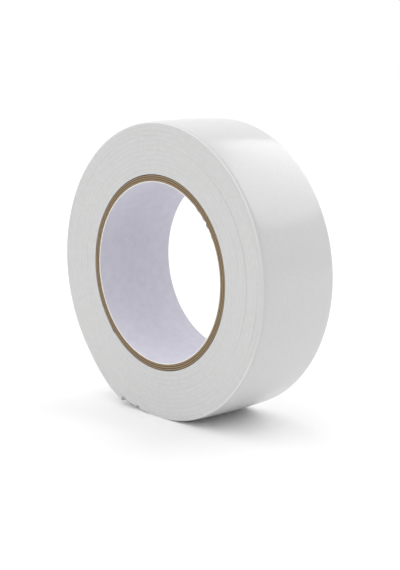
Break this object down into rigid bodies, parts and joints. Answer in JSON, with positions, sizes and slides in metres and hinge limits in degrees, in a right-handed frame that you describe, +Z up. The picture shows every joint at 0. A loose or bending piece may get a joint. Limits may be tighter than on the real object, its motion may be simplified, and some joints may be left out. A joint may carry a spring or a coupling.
{
  "type": "double-sided foam tape roll",
  "caption": "Roll of double-sided foam tape wound on a lined kraft-board core, with a free tail that lifts and a release liner end that peels back.",
  "frame": {"origin": "on the floor, under the middle of the standing roll", "axes": "+Z up; the roll's axis along Y, with the front side face towards -Y; the tail lies at the lower -X side"},
  "size_m": [0.1238, 0.04, 0.1238],
  "materials": {
    "lining_paper": "matte",
    "kraft_board": "matte",
    "adhesive": "gloss",
    "foam": "matte",
    "release_liner": "satin"
  },
  "bodies": {
    "roll": {"core_lining_paper": "lining_paper", "core_kraft_ply_inner": "kraft_board", "core_kraft_ply_middle": "kraft_board", "core_kraft_ply_outer": "kraft_board", "wound_inner_adhesive": "adhesive", "wound_foam": "foam", "wound_outer_adhesive": "adhesive", "wound_release_liner": "release_liner"},
    "tail": {"tail_inner_adhesive": "adhesive", "tail_foam": "foam", "tail_outer_adhesive": "adhesive", "tail_release_liner": "release_liner"},
    "liner_tab": {"peeling_release_liner": "release_liner"}
  },
  "joints": [
    {"name": "tail_peel", "type": "hinge", "parent": "roll", "child": "tail", "pos_m": [-0.04952, 0, 0.02389], "axis": [0, 1, 0], "range_deg": [0, 110]},
    {"name": "liner_peel", "type": "hinge", "parent": "tail", "child": "liner_tab", "pos_m": [-0.03869, 0, 0.01146], "axis": [0, 1, 0], "range_deg": [0, 120]}
  ]
}
